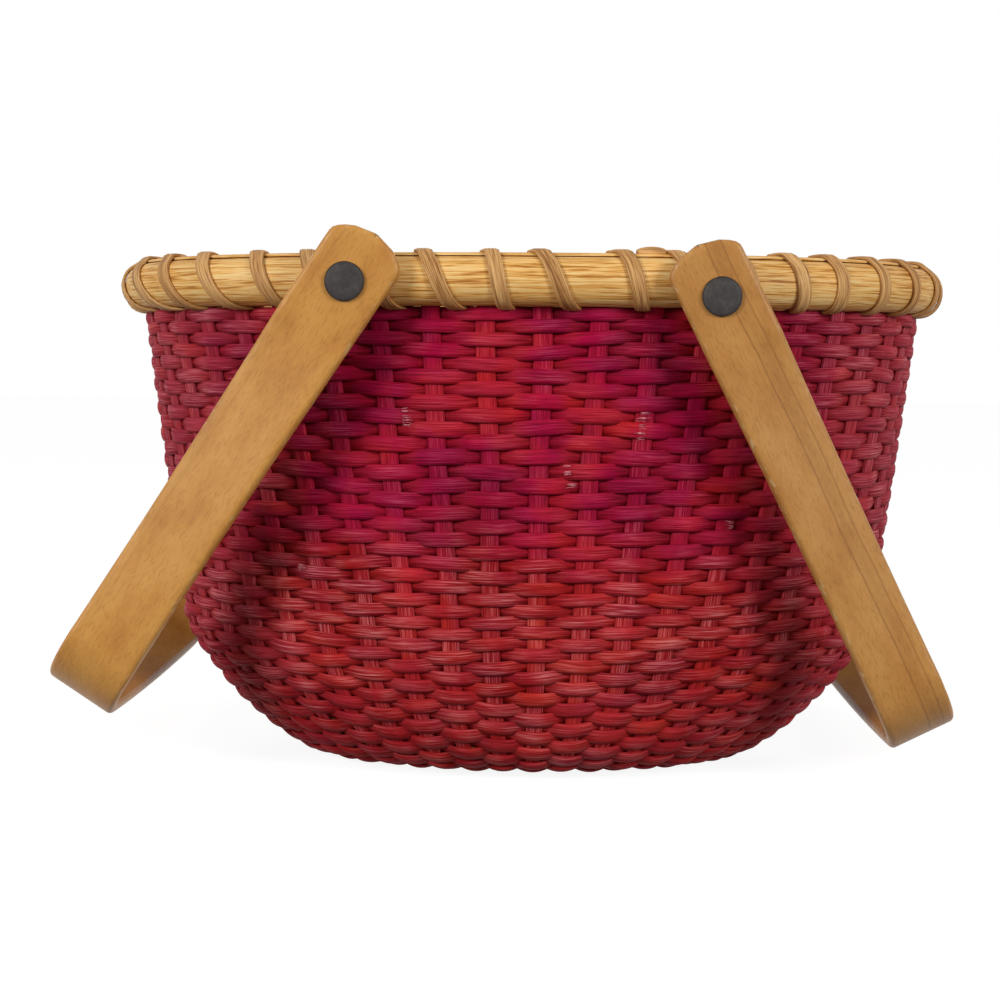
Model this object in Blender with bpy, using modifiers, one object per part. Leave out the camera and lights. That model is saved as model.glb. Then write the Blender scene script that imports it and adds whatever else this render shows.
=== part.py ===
"""Oval Nantucket carry basket with a woven body, a lashed rim and two swing handles.

Metres, +Z up. X runs along the basket, -Y is its front, and the origin is the middle of the
underside of the wooden base plate.
"""

import math

import bmesh
import bpy
import numpy as np
from mathutils import Matrix, Vector

# Driving dimensions in metres, and angles in degrees

# Clearances shared by the whole basket
fit_gap = 0.0003
swing_gap = 0.0003
cutter_overrun = 0.004
weld_distance = 0.00001
square_edge_angle = 50.0

# Oval plan, as the line on which the staves stand under the rim
plan_power = 2.2
plan_sides = 48
stave_line_half_length = 0.1453
stave_line_half_width = 0.0930
stave_thickness = 0.0018

# Wooden base plate with a saw groove round its edge
base_half_length = 0.0840
base_half_width = 0.0510
base_thickness = 0.0064
base_edge_rounding = 0.0010
groove_depth = 0.0060

# Woven wall, on the middle of its thickness
wall_thickness = 0.0040
knee_height = 0.0500
knee_half_length = 0.1306
knee_half_width = 0.0905
length_corner_power = 1.60
width_corner_power = 0.60
corner_rows = 6
flare_rows = 3

# Bent rims, one outside and one inside the staves, and the strip that caps them
rim_bottom = 0.1672
rim_height = 0.0166
outer_rim_thickness = 0.0083
inner_rim_thickness = 0.0063
rim_section_steps = 6
stave_end_drop = 0.0006
cap_width = 0.0072
cap_thickness = 0.0012
cap_section_steps = 4

# Cane lashing, in two lengths that each go half way round
lash_width = 0.0054
lash_thickness = 0.0012
lash_gap = 0.0006
turns_from_end_to_pivot = 6
turns_between_pivots = 6
turn_left_open = 0.5
inside_set_back_share = 0.44
points_per_turn = 14
lacing_hole_slack = 0.0008

# Swing handles, shared sizes
handle_thickness = 0.0048
head_radius = 0.0187
head_corner_radius = 0.0030
handle_edge_rounding = 0.0015
bend_radius = 0.0225
arm_lean = 5.0
arm_twist = 13.0
crown_bow = 4.0
head_steps = 8
corner_steps = 3
arm_steps = 8
bend_steps = 6
crown_steps = 3
strip_columns = 4

# Swing handles, the sizes in which the two hand-made ones differ
left_reach = 0.1765
left_head_width = 0.0276
left_crown_width = 0.0262
left_pivot_offset = 0.0606
left_pivot_rise = 0.0074
left_rest_angle = 33.8
right_reach = 0.1716
right_head_width = 0.0262
right_crown_width = 0.0243
right_pivot_offset = 0.0634
right_pivot_rise = 0.0033
right_rest_angle = 26.6

# Rivets and their washers
rivet_head_radius = 0.0066
rivet_head_thickness = 0.0018
rivet_head_edge = 0.0005
shank_radius = 0.0023
peened_radius = 0.0032
peened_height = 0.0012
spacer_radius = 0.0038
outer_seat_depth = 0.0026
burr_radius = 0.0038
burr_thickness = 0.0012
inner_seat_depth = 0.0018
turned_steps = 16

# Places and sizes that follow from the driving dimensions
groove_level = base_thickness / 2
channel_half = stave_thickness / 2 + fit_gap
rim_level = rim_bottom + rim_height / 2
rim_top = rim_bottom + rim_height
weave_top = rim_bottom - lash_thickness - 3 * lash_gap
rim_outset = channel_half + outer_rim_thickness
rim_inset = channel_half + inner_rim_thickness
lash_outset = rim_outset + lash_gap + lash_thickness
turns_half_round = 2 * turns_from_end_to_pivot + turns_between_pivots
shank_bore_radius = shank_radius + fit_gap
left_pivot_height = rim_bottom + left_pivot_rise
right_pivot_height = rim_bottom + right_pivot_rise


# The basket's own geometry

def signed_power(value, power):
    return math.copysign(abs(value) ** power, value)


def oval_point(angle, half_length, half_width, outset=0.0):
    """A point of the oval plan and its outward direction, moved out by the outset."""
    x = half_length * signed_power(math.cos(angle), 2 / plan_power)
    y = half_width * signed_power(math.sin(angle), 2 / plan_power)
    slope_x = signed_power(x / half_length, plan_power - 1) / half_length
    slope_y = signed_power(y / half_width, plan_power - 1) / half_width
    outward = Vector((slope_x, slope_y, 0.0)).normalized()
    return Vector((x, y, 0.0)) + outset * outward, outward


def oval_angles(sides):
    return [2 * math.pi * step / sides for step in range(sides)]


def stave_line():
    """The stave line as a closed list of points."""
    return [oval_point(a, stave_line_half_length, stave_line_half_width)[0]
            for a in oval_angles(plan_sides)]


def front_distance(offset, outset):
    """How far in front of the middle a line parallel to the stave line runs, at one offset."""
    quarter = [step / plan_sides for step in range(plan_sides + 1)]
    angles = [math.pi / 2 * (1 - share) for share in quarter]
    points = [oval_point(a, stave_line_half_length, stave_line_half_width, outset)[0] for a in angles]
    return float(np.interp(offset, [p.x for p in points], [p.y for p in points]))


def stave_line_length():
    """The distance round the faceted stave line, and the distance at each of its corners."""
    points = stave_line()
    steps = [(b - a).length for a, b in zip(points, points[1:] + points[:1])]
    return sum(steps), np.concatenate([[0.0], np.cumsum(steps)])


def place_along(distance):
    """The point and the outward direction at a distance round the stave line from its +X end."""
    total, corners = stave_line_length()
    ends = [oval_point(a, stave_line_half_length, stave_line_half_width)
            for a in oval_angles(plan_sides) + [0.0]]
    along = distance % total
    values = [float(np.interp(along, corners, [end[kind][axis] for end in ends]))
              for kind in (0, 1) for axis in (0, 1)]
    return Vector((values[0], values[1], 0.0)), Vector((values[2], values[3], 0.0))


# Shared tools for objects, materials and cuts

def new_collection(name):
    collection = bpy.data.collections.new(name)
    bpy.context.scene.collection.children.link(collection)
    return collection


def new_material(name, colour, roughness, metallic=0.0):
    material = bpy.data.materials.new(name)
    material.use_nodes = True
    material.diffuse_color = (*colour, 1.0)
    shader = material.node_tree.nodes["Principled BSDF"]
    shader.inputs["Base Color"].default_value = (*colour, 1.0)
    shader.inputs["Roughness"].default_value = roughness
    shader.inputs["Metallic"].default_value = metallic
    return material


def new_object(name, data, collection, material=None):
    item = bpy.data.objects.new(name, data)
    collection.objects.link(item)
    if material:
        data.materials.append(material)
    return item


def shade_round(mesh):
    mesh.shade_smooth()
    mesh.set_sharp_from_angle(angle=math.radians(square_edge_angle))


def as_mesh(curve_item, collection, material=None):
    """The curve object made into a welded mesh object of the same name and place."""
    bpy.context.view_layer.update()
    depsgraph = bpy.context.evaluated_depsgraph_get()
    mesh = bpy.data.meshes.new_from_object(curve_item.evaluated_get(depsgraph))
    mesh.materials.clear()
    name = curve_item.name
    place = curve_item.matrix_world.copy()
    bpy.data.objects.remove(curve_item, do_unlink=True)
    welded = bmesh.new()
    welded.from_mesh(mesh)
    bmesh.ops.remove_doubles(welded, verts=welded.verts, dist=weld_distance)
    bmesh.ops.recalc_face_normals(welded, faces=welded.faces)
    welded.to_mesh(mesh)
    welded.free()
    item = new_object(name, mesh, collection, material)
    item.matrix_world = place
    return item


def flat_curve(name, points, collection):
    """A closed flat curve through the points, which serves as an outline, a route or a section."""
    curve = bpy.data.curves.new(name, "CURVE")
    curve.dimensions = "2D"
    spline = curve.splines.new("POLY")
    spline.points.add(len(points) - 1)
    for target, point in zip(spline.points, points):
        target.co = (point[0], point[1], 0.0, 1.0)
    spline.use_cyclic_u = True
    return new_object(name, curve, collection)


def band_round_basket(name, section, level, line, collection, material=None):
    """A section of (outset, height) points carried round an oval line at one level."""
    section_item = flat_curve(name + "_section", section, cutters)
    route = flat_curve(name, line, collection)
    route.data.dimensions = "3D"
    route.data.twist_mode = "Z_UP"
    route.data.bevel_mode = "OBJECT"
    route.data.bevel_object = section_item
    route.location.z = level
    band = as_mesh(route, collection, material)
    bpy.data.objects.remove(section_item, do_unlink=True)
    shade_round(band.data)
    return band


def hide_cutter(item):
    item.hide_render = True
    item.display_type = "WIRE"
    return item


def cut(target, *tools):
    for tool in tools:
        boolean = target.modifiers.new(tool.name, "BOOLEAN")
        boolean.operation = "DIFFERENCE"
        boolean.solver = "EXACT"
        boolean.object = tool


def cross_cylinder(name, radius, start, end, offset, height):
    """A closed cylinder along Y, from start to end, that cuts at a pivot."""
    bpy.ops.mesh.primitive_cylinder_add(vertices=turned_steps, radius=radius, depth=end - start)
    cylinder = bpy.context.object
    cylinder.name = name
    for owner in list(cylinder.users_collection):
        owner.objects.unlink(cylinder)
    cutters.objects.link(cylinder)
    cylinder.rotation_euler.x = math.radians(90)
    cylinder.location = (offset, (start + end) / 2, height)
    return hide_cutter(cylinder)


def turned_piece(name, profile, offset, height, facing, material):
    """A profile of (radius, distance from the middle plane) turned round a handle's pivot axis."""
    mesh = bpy.data.meshes.new(name)
    closed = profile[0][0] > 0
    count = len(profile)
    edges = [(step, (step + 1) % count) for step in range(count if closed else count - 1)]
    mesh.from_pydata([(radius, 0.0, distance) for radius, distance in profile], edges, [])
    item = new_object(name, mesh, parts, material)
    screw = item.modifiers.new("turn", "SCREW")
    screw.axis = "Z"
    screw.steps = turned_steps
    screw.render_steps = turned_steps
    screw.use_merge_vertices = True
    screw.merge_threshold = weld_distance
    screw.use_smooth_shade = True
    item.location = (offset, 0.0, height)
    item.rotation_euler.x = math.radians(-90 * facing)
    return item


# Base plate

def build_base_plate():
    edge = [oval_point(a, base_half_length, base_half_width)[0] for a in oval_angles(plan_sides)]
    inner_edge = [oval_point(a, base_half_length, base_half_width, -base_edge_rounding)[0]
                  for a in oval_angles(plan_sides)]
    outline = flat_curve("base_plate", inner_edge, parts)
    outline.data.fill_mode = "BOTH"
    outline.data.extrude = base_thickness / 2 - base_edge_rounding
    outline.data.bevel_depth = base_edge_rounding
    outline.data.bevel_resolution = 0
    outline.location.z = base_thickness / 2
    plate = as_mesh(outline, parts, maple)
    half_groove = stave_thickness / 2 + fit_gap
    section = [(-groove_depth, -half_groove), (cutter_overrun, -half_groove),
               (cutter_overrun, half_groove), (-groove_depth, half_groove)]
    cut(plate, hide_cutter(band_round_basket("groove_cutter", section, groove_level, edge, cutters)))
    shade_round(plate.data)


# Woven wall

def wall_rows():
    """Half length, half width, height and share of the wall's thickness for each row."""
    tongue_share = stave_thickness / wall_thickness
    groove_end = base_half_length - groove_depth + fit_gap
    groove_end_width = base_half_width - groove_depth + fit_gap
    rows = [(groove_end, groove_end_width, groove_level, tongue_share),
            (base_half_length + fit_gap, base_half_width + fit_gap, groove_level, tongue_share)]
    start_length = base_half_length + 2 * fit_gap
    start_width = base_half_width + 2 * fit_gap
    for step in range(corner_rows + 1):
        turn = math.pi / 2 * step / corner_rows
        length = start_length + (knee_half_length - start_length) * math.sin(turn) ** length_corner_power
        width = start_width + (knee_half_width - start_width) * math.sin(turn) ** width_corner_power
        rise = 1 - math.cos(turn) ** length_corner_power
        rows.append((length, width, groove_level + (knee_height - groove_level) * rise, 1.0))
    for step in range(1, flare_rows + 1):
        share = step / flare_rows
        rows.append((knee_half_length + (stave_line_half_length - knee_half_length) * share,
                     knee_half_width + (stave_line_half_width - knee_half_width) * share,
                     knee_height + (weave_top - knee_height) * share, 1.0))
    for height in (weave_top + fit_gap, rim_top - stave_end_drop):
        rows.append((stave_line_half_length, stave_line_half_width, height, tongue_share))
    return rows


def lacing_hole_cutter():
    """One closed box for each place where the lashing goes through under the rim."""
    width = lash_width + 2 * lacing_hole_slack + stave_thickness
    bottom = weave_top + 2 * fit_gap
    boxes = bmesh.new()
    for turn in range(2 * turns_half_round):
        point, outward = place_along(lash_distance(turn + turn_crossing_share(-math.pi / 2)))
        place = Matrix.Translation(point + Vector((0.0, 0.0, (bottom + rim_bottom) / 2)))
        place @= Matrix.Rotation(math.atan2(outward.y, outward.x), 4, "Z")
        place @= Matrix.Diagonal((2 * wall_thickness, width, rim_bottom - bottom, 1.0))
        bmesh.ops.create_cube(boxes, size=1.0, matrix=place)
    mesh = bpy.data.meshes.new("lacing_holes")
    boxes.to_mesh(mesh)
    boxes.free()
    return hide_cutter(new_object("lacing_holes", mesh, cutters))


def build_woven_wall():
    rows = wall_rows()
    surface = bmesh.new()
    rings = []
    for half_length, half_width, height, _ in rows:
        ring = [oval_point(a, half_length, half_width)[0] for a in oval_angles(plan_sides)]
        rings.append([surface.verts.new((p.x, p.y, height)) for p in ring])
    for lower, upper in zip(rings, rings[1:]):
        for side in range(plan_sides):
            following = (side + 1) % plan_sides
            surface.faces.new((lower[side], lower[following], upper[following], upper[side]))
    mesh = bpy.data.meshes.new("woven_wall")
    surface.to_mesh(mesh)
    surface.free()
    wall = new_object("woven_wall", mesh, parts, dyed_reed)
    thickness = wall.vertex_groups.new(name="thickness")
    for row, (_, _, _, thickness_share) in enumerate(rows):
        ring = list(range(row * plan_sides, (row + 1) * plan_sides))
        thickness.add(ring, thickness_share, "REPLACE")
    solidify = wall.modifiers.new("thickness", "SOLIDIFY")
    solidify.thickness = wall_thickness
    solidify.offset = 0.0
    solidify.vertex_group = "thickness"
    cut(wall, lacing_hole_cutter(), *bore_cutters)
    shade_round(wall.data)


# Rims and cap

def half_round(thickness, height, steps, facing):
    """A half-round section whose flat side faces the staves."""
    points = []
    for step in range(steps + 1):
        turn = math.pi * (step / steps - 1 / 2)
        points.append((facing * (channel_half + thickness * math.cos(turn)), height / 2 * math.sin(turn)))
    return points


def build_rims():
    outer_section = half_round(outer_rim_thickness, rim_height, rim_section_steps, 1)
    outer = band_round_basket("outer_rim", outer_section, rim_level, stave_line(), parts, rim_wood)
    cut(outer, *bore_cutters, *spacer_seat_cutters)
    inner_section = half_round(inner_rim_thickness, rim_height, rim_section_steps, -1)
    inner = band_round_basket("inner_rim", inner_section, rim_level, stave_line(), parts, rim_wood)
    cut(inner, *bore_cutters, *burr_seat_cutters)
    crown = [math.pi * step / cap_section_steps for step in range(cap_section_steps + 1)]
    cap_section = [(cap_width / 2 * math.cos(a), cap_thickness * math.sin(a)) for a in crown]
    band_round_basket("rim_cap", cap_section, rim_top + fit_gap, stave_line(), parts, rim_wood)


# Lashing

def lash_distance(turn):
    """How far round the stave line the lashing is, evenly spaced between the pivots and the ends."""
    total, corners = stave_line_length()
    back = plan_sides // 2 + 1
    places = [-oval_point(a, stave_line_half_length, stave_line_half_width)[0].x
              for a in oval_angles(plan_sides)[:back]]
    right_pivot = float(np.interp(-right_pivot_offset, places, corners[:back]))
    left_pivot = float(np.interp(left_pivot_offset, places, corners[:back]))
    first = turns_from_end_to_pivot
    second = first + turns_between_pivots
    turns = [0, first, second, turns_half_round]
    distances = [0.0, right_pivot, left_pivot, total / 2]
    turns += [2 * turns_half_round - turn for turn in reversed(turns[:-1])]
    distances += [total - distance for distance in reversed(distances[:-1])]
    set_back = inside_set_back_share * (1 + math.cos(2 * math.pi * turn)) / 2
    lap = (turn - set_back) % (2 * turns_half_round)
    return float(np.interp(lap, turns, distances))


def turn_crossing_share(section_angle):
    """The share of a turn at which the lashing passes one angle of the rim's section."""
    return 1 / 2 - section_angle / (2 * math.pi)


def lash_point(turn):
    """The middle of the cane, and the way it faces, at a number of turns from the +X end."""
    point, outward = place_along(lash_distance(turn))
    section_angle = 2 * math.pi * (turn_crossing_share(0.0) - turn)
    across = math.cos(section_angle)
    rise = math.sin(section_angle)
    stand_off = lash_gap + lash_thickness / 2
    rim_side = outer_rim_thickness if across > 0 else inner_rim_thickness
    out = math.copysign(channel_half, across) + (rim_side + stand_off) * across
    top_room = cap_thickness + 2 * fit_gap if rise > 0 else 0.0
    up = (rim_height / 2 + top_room + stand_off) * rise
    place = point + outward * out + Vector((0.0, 0.0, rim_level + up))
    facing = (outward * across + Vector((0.0, 0.0, rise))).normalized()
    return place, facing


def build_lashing(name, first_turn, turns):
    count = int(turns * points_per_turn)
    half_step = 1 / (2 * points_per_turn)
    stations = [lash_point(first_turn + half_step + step / points_per_turn) for step in range(count)]
    strip = bmesh.new()
    edges = []
    for step, (place, facing) in enumerate(stations):
        before = stations[max(step - 1, 0)][0]
        after = stations[min(step + 1, count - 1)][0]
        sideways = (after - before).cross(facing).normalized() * (lash_width / 2)
        edges.append((strip.verts.new(place - sideways), strip.verts.new(place + sideways)))
    for (left, right), (next_left, next_right) in zip(edges, edges[1:]):
        strip.faces.new((left, right, next_right, next_left))
    mesh = bpy.data.meshes.new(name)
    strip.to_mesh(mesh)
    strip.free()
    lashing = new_object(name, mesh, parts, cane)
    solidify = lashing.modifiers.new("thickness", "SOLIDIFY")
    solidify.thickness = lash_thickness
    solidify.offset = 0.0
    shade_round(lashing.data)
    report_gap(name, [place for place, _ in stations])


def report_gap(name, places):
    """Prints how near the winding comes to itself, past the loop that a point is on."""
    half_turn = points_per_turn // 2
    least = min((a - b).length for step, a in enumerate(places) for b in places[step + half_turn:])
    print(f"{name}: least gap to itself {(least - lash_width) * 1000:.1f} mm")


# Swing handles

def handle_path(reach, arm_distance):
    """Half of the bent strip, as distance from the middle, drop from the pivot and turn."""
    lean = math.radians(arm_lean)
    bow = math.radians(crown_bow)
    corner = math.pi / 2 - bow - lean
    out_of_bend = bend_radius * (math.cos(lean) - math.sin(bow))
    down_bend = bend_radius * (math.cos(bow) - math.sin(lean))
    middle_drop = reach - handle_thickness / 2
    # The arm ends where the bend and the bowed crown just bring the strip to the middle
    lean_run = middle_drop - head_radius - down_bend
    for _ in range(8):
        crown_start = arm_distance - lean_run * math.tan(lean) - out_of_bend
        crown_drop = crown_start * math.tan(bow / 2)
        lean_run = middle_drop - head_radius - down_bend - crown_drop
    stations = []
    for step in range(arm_steps + 1):
        share = step / arm_steps
        drop = head_radius + lean_run * share
        stations.append((arm_distance - lean_run * share * math.tan(lean), drop, lean))
    stations[0] = (arm_distance, head_radius, 0.0)
    distance, drop, _ = stations[-1]
    for step in range(1, bend_steps + 1):
        turn = lean + corner * step / bend_steps
        stations.append((distance - bend_radius * (math.cos(lean) - math.cos(turn)),
                         drop + bend_radius * (math.sin(turn) - math.sin(lean)), turn))
    distance, drop, turn = stations[-1]
    crown_radius = distance / math.sin(bow)
    for step in range(1, crown_steps + 1):
        turn = math.pi / 2 - bow * (1 - step / crown_steps)
        stations.append((crown_radius * math.cos(turn),
                         drop + crown_radius * (math.sin(turn) - math.cos(bow)), turn))
    return stations, lean_run


def head_outline(head_width):
    """The round top of a handle's arm, from one side to the other, round the pivot."""
    half = head_width / 2
    corner_x = half - head_corner_radius
    corner_z = math.sqrt((head_radius - head_corner_radius) ** 2 - corner_x ** 2)
    corner_turn = math.atan2(corner_z, corner_x)
    points = []
    for step in range(corner_steps):
        turn = corner_turn * step / corner_steps
        points.append((corner_x + head_corner_radius * math.cos(turn),
                       corner_z + head_corner_radius * math.sin(turn)))
    for step in range(head_steps + 1):
        turn = corner_turn + (math.pi - 2 * corner_turn) * step / head_steps
        points.append((head_radius * math.cos(turn), head_radius * math.sin(turn)))
    for x, z in reversed(points[:corner_steps]):
        points.append((-x, z))
    return points


def build_handle(name, side, reach, head_width, crown_width, offset, height, rest_angle):
    """A bent strip that hangs down in its own frame and is turned about its pivot to rest."""
    stations, lean_run = handle_path(reach, arm_middle(offset))
    surface = bmesh.new()
    rows = []
    for distance, drop, turn in stations:
        share = min((drop - head_radius) / lean_run, 1.0)
        half = (head_width + (crown_width - head_width) * share) / 2
        twist = -side * math.radians(arm_twist) * math.sin(math.pi * share) ** (1 / 2)
        along = Vector((0.0, math.sin(turn), -math.cos(turn)))
        across = Matrix.Rotation(twist, 3, along) @ Vector((1.0, 0.0, 0.0))
        middle = Vector((0.0, -distance, -drop))
        row = [middle + across * half * (2 * column / strip_columns - 1)
               for column in range(strip_columns + 1)]
        rows.append([surface.verts.new(point) for point in row])
    head = [surface.verts.new((x, -arm_middle(offset), z)) for x, z in head_outline(head_width)]
    surface.faces.new(rows[0] + head)
    for upper, lower in zip(rows, rows[1:]):
        for column in range(strip_columns):
            surface.faces.new((upper[column], lower[column], lower[column + 1], upper[column + 1]))
    bmesh.ops.recalc_face_normals(surface, faces=surface.faces)
    mesh = bpy.data.meshes.new(name)
    surface.to_mesh(mesh)
    surface.free()
    handle = new_object(name, mesh, parts, bent_wood)
    mirror = handle.modifiers.new("other half", "MIRROR")
    mirror.use_axis = (False, True, False)
    mirror.use_clip = True
    mirror.merge_threshold = weld_distance
    solidify = handle.modifiers.new("thickness", "SOLIDIFY")
    solidify.thickness = handle_thickness
    solidify.offset = 0.0
    solidify.use_even_offset = True
    bevel = handle.modifiers.new("worn edges", "BEVEL")
    bevel.width = handle_edge_rounding
    bevel.segments = 2
    bevel.limit_method = "ANGLE"
    bevel.angle_limit = math.radians(square_edge_angle)
    bevel.use_clamp_overlap = False
    handle.location = (side * offset, 0.0, height)
    handle.rotation_euler.y = math.radians(-side * rest_angle)
    shade_round(handle.data)
    return handle


# Rivets and washers, from the pivot's place outward

def arm_inner(offset):
    """The inner face of a handle's arm, just clear of the lashing that its head sweeps over."""
    return front_distance(offset - head_radius, lash_outset) + swing_gap


def arm_middle(offset):
    return arm_inner(offset) + handle_thickness / 2


def outer_seat(offset):
    return front_distance(offset, rim_outset) - outer_seat_depth


def inner_seat(offset):
    return front_distance(offset, -rim_inset) + inner_seat_depth


def build_pivot(side_name, end_name, side, facing, offset, height):
    """The rivet, the spacer under the arm and the burr inside the rim, at one end of one pivot."""
    place = (side * offset, height, facing)
    seat = arm_inner(offset) + handle_thickness + fit_gap
    top = seat + rivet_head_thickness
    burr_outer = inner_seat(offset) - fit_gap
    burr_inner = burr_outer - burr_thickness
    peen = burr_inner - fit_gap
    rivet = [(0.0, top), (rivet_head_radius - rivet_head_edge, top - rivet_head_edge / 2),
             (rivet_head_radius, top - rivet_head_edge * 2), (rivet_head_radius, seat),
             (shank_radius, seat), (shank_radius, peen), (peened_radius, peen),
             (peened_radius, peen - peened_height / 2), (peened_radius / 2, peen - peened_height),
             (0.0, peen - peened_height)]
    turned_piece(f"{side_name}_{end_name}_rivet", rivet, *place, rivet_metal)
    spacer_in = outer_seat(offset) + fit_gap
    spacer_out = arm_inner(offset) - fit_gap
    ring(f"{side_name}_{end_name}_spacer", spacer_radius, spacer_in, spacer_out, place, bent_wood)
    ring(f"{side_name}_{end_name}_burr", burr_radius, burr_inner, burr_outer, place, rivet_metal)


def ring(name, radius, inner, outer, place, material):
    profile = [(radius, outer), (radius, inner), (shank_bore_radius, inner), (shank_bore_radius, outer)]
    turned_piece(name, profile, *place, material)


def pivot_cutters(side_name, side, offset, height):
    """The bore through everything and the flat seats in the rims, at one handle's pivot."""
    place = (side * offset, height)
    far = stave_line_half_width + rim_outset + handle_thickness + cutter_overrun
    outer_radius = spacer_radius + fit_gap
    inner_radius = burr_radius + fit_gap
    seat = outer_seat(offset)
    bore_cutters.append(cross_cylinder(f"{side_name}_bore", shank_bore_radius, -far, far, *place))
    spacer_seat_cutters.append(cross_cylinder(f"{side_name}_front_seat", outer_radius, -far, -seat, *place))
    spacer_seat_cutters.append(cross_cylinder(f"{side_name}_back_seat", outer_radius, seat, far, *place))
    inside = inner_seat(offset)
    inner_seats = cross_cylinder(f"{side_name}_inner_seats", inner_radius, -inside, inside, *place)
    burr_seat_cutters.append(inner_seats)


# The basket, put together

for leftover in list(bpy.data.objects):
    bpy.data.objects.remove(leftover, do_unlink=True)

parts = new_collection("nantucket_basket")
cutters = new_collection("cutters")

maple = new_material("turned_maple", (0.45, 0.27, 0.12), 0.5)
dyed_reed = new_material("dyed_reed", (0.27, 0.012, 0.028), 0.6)
rim_wood = new_material("half_round_reed", (0.55, 0.32, 0.10), 0.5)
cane = new_material("flat_cane", (0.50, 0.28, 0.10), 0.45)
bent_wood = new_material("bent_wood", (0.52, 0.27, 0.08), 0.45)
rivet_metal = new_material("darkened_metal", (0.055, 0.047, 0.045), 0.6, 0.6)

bore_cutters = []
spacer_seat_cutters = []
burr_seat_cutters = []
pivot_cutters("left", -1, left_pivot_offset, left_pivot_height)
pivot_cutters("right", 1, right_pivot_offset, right_pivot_height)

build_base_plate()
build_woven_wall()
build_rims()

build_lashing("back_lashing", 0, turns_half_round - turn_left_open)
build_lashing("front_lashing", turns_half_round, turns_half_round - turn_left_open)

left_handle = build_handle("left_handle", -1, left_reach, left_head_width, left_crown_width,
                           left_pivot_offset, left_pivot_height, left_rest_angle)
right_handle = build_handle("right_handle", 1, right_reach, right_head_width, right_crown_width,
                            right_pivot_offset, right_pivot_height, right_rest_angle)
cut(left_handle, bore_cutters[0])
cut(right_handle, bore_cutters[1])

for end_name, facing in (("front", -1), ("back", 1)):
    build_pivot("left", end_name, -1, facing, left_pivot_offset, left_pivot_height)
    build_pivot("right", end_name, 1, facing, right_pivot_offset, right_pivot_height)
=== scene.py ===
"""Looks of the oval carry basket: dyed reed weave, lashed reed rim and two swing handles.

Metres, +Z up. X runs along the basket and -Y is its front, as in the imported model.
"""

import math

import bmesh
import bpy
import numpy as np
from mathutils import Matrix, Vector


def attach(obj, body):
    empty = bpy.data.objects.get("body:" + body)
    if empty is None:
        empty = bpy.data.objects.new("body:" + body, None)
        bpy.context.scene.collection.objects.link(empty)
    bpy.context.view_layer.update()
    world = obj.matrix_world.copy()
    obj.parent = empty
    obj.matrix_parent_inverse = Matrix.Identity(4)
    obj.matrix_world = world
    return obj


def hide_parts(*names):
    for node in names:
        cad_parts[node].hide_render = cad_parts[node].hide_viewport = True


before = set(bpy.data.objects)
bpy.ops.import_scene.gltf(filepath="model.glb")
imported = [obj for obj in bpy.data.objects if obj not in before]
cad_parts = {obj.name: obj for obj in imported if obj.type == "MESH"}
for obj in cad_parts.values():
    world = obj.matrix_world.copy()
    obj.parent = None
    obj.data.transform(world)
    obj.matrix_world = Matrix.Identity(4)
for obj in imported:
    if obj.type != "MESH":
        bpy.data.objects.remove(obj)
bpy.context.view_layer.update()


# Base plate
# The real one is a maple board, sawn to an oval, sanded and given a coat of varnish.
# A saw groove round its edge holds the feet of the stakes with glue.

MM = 0.001


def linear(hex_colour):
    """An sRGB hex colour as the linear colour that a shader takes."""
    shares = [int(hex_colour[place:place + 2], 16) / 255 for place in (1, 3, 5)]
    return tuple(s / 12.92 if s <= 0.04045 else ((s + 0.055) / 1.055) ** 2.4 for s in shares) + (1.0,)


def fill(node, values):
    """Sets or links a node's inputs by name. A node given as a value lends its first output in use."""
    for name, value in values.items():
        if isinstance(value, bpy.types.Node):
            value = next(socket for socket in value.outputs if socket.enabled)
        if isinstance(value, bpy.types.NodeSocket):
            node.id_data.links.new(value, node.inputs[name])
        else:
            node.inputs[name].default_value = value


def add(tree, kind, values=None, stops=(), **settings):
    """Adds a node with its settings, its inputs and, on a ramp, its stops of (place, hex colour)."""
    node = tree.nodes.new("ShaderNode" + kind)
    for name, value in settings.items():
        setattr(node, name, value)
    for _ in stops[2:]:
        node.color_ramp.elements.new(0.5)
    for number, (place, colour) in enumerate(stops):
        node.color_ramp.elements[number].position = place
        node.color_ramp.elements[number].color = linear(colour)
    fill(node, values or {})
    return node


def streaks(tree, place, along, across, detail, roughness=0.5):
    """Noise drawn out along a piece, by its repeats per metre along it and across it."""
    drawn_out = add(tree, "Mapping", {"Vector": place, "Scale": (along, across, across)})
    return add(tree, "TexNoise",
               {"Vector": drawn_out, "Scale": 1.0, "Detail": detail, "Roughness": roughness})


def new_finish(name, shine):
    """A material with its shader's own settings, and the tree that its pattern goes into."""
    finish = bpy.data.materials.new(name)
    finish.use_nodes = True
    shader = finish.node_tree.nodes["Principled BSDF"]
    fill(shader, shine)
    return finish, finish.node_tree, shader


# Maple: pale and close-grained, with faint growth lines 2.5 mm apart, which are 400 to the metre.
# The scales of all patterns are such repeats per metre
maple, tree, shader = new_finish("varnished_maple_board", {"Roughness": 0.42, "IOR": 1.5})
place = add(tree, "TexCoord").outputs["Object"]
growth = streaks(tree, place, 12.0, 400.0, detail=6.0)
colour = add(tree, "ValToRGB", {"Fac": growth},
             stops=((0.3, "#A87C4A"), (0.52, "#C2965F"), (0.7, "#CFA570")))
rough = add(tree, "Bump", {"Height": growth, "Strength": 0.2, "Distance": 0.1 * MM})
fill(shader, {"Base Color": colour, "Normal": rough})
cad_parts["base_plate"].data.materials.clear()
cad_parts["base_plate"].data.materials.append(maple)


# Stakes
# Forty-seven flat reeds stand in the plate's groove, bend up round the foot of the wall and
# end between the two rims. They are dyed with the rest of the body and taper towards the plate.

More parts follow.
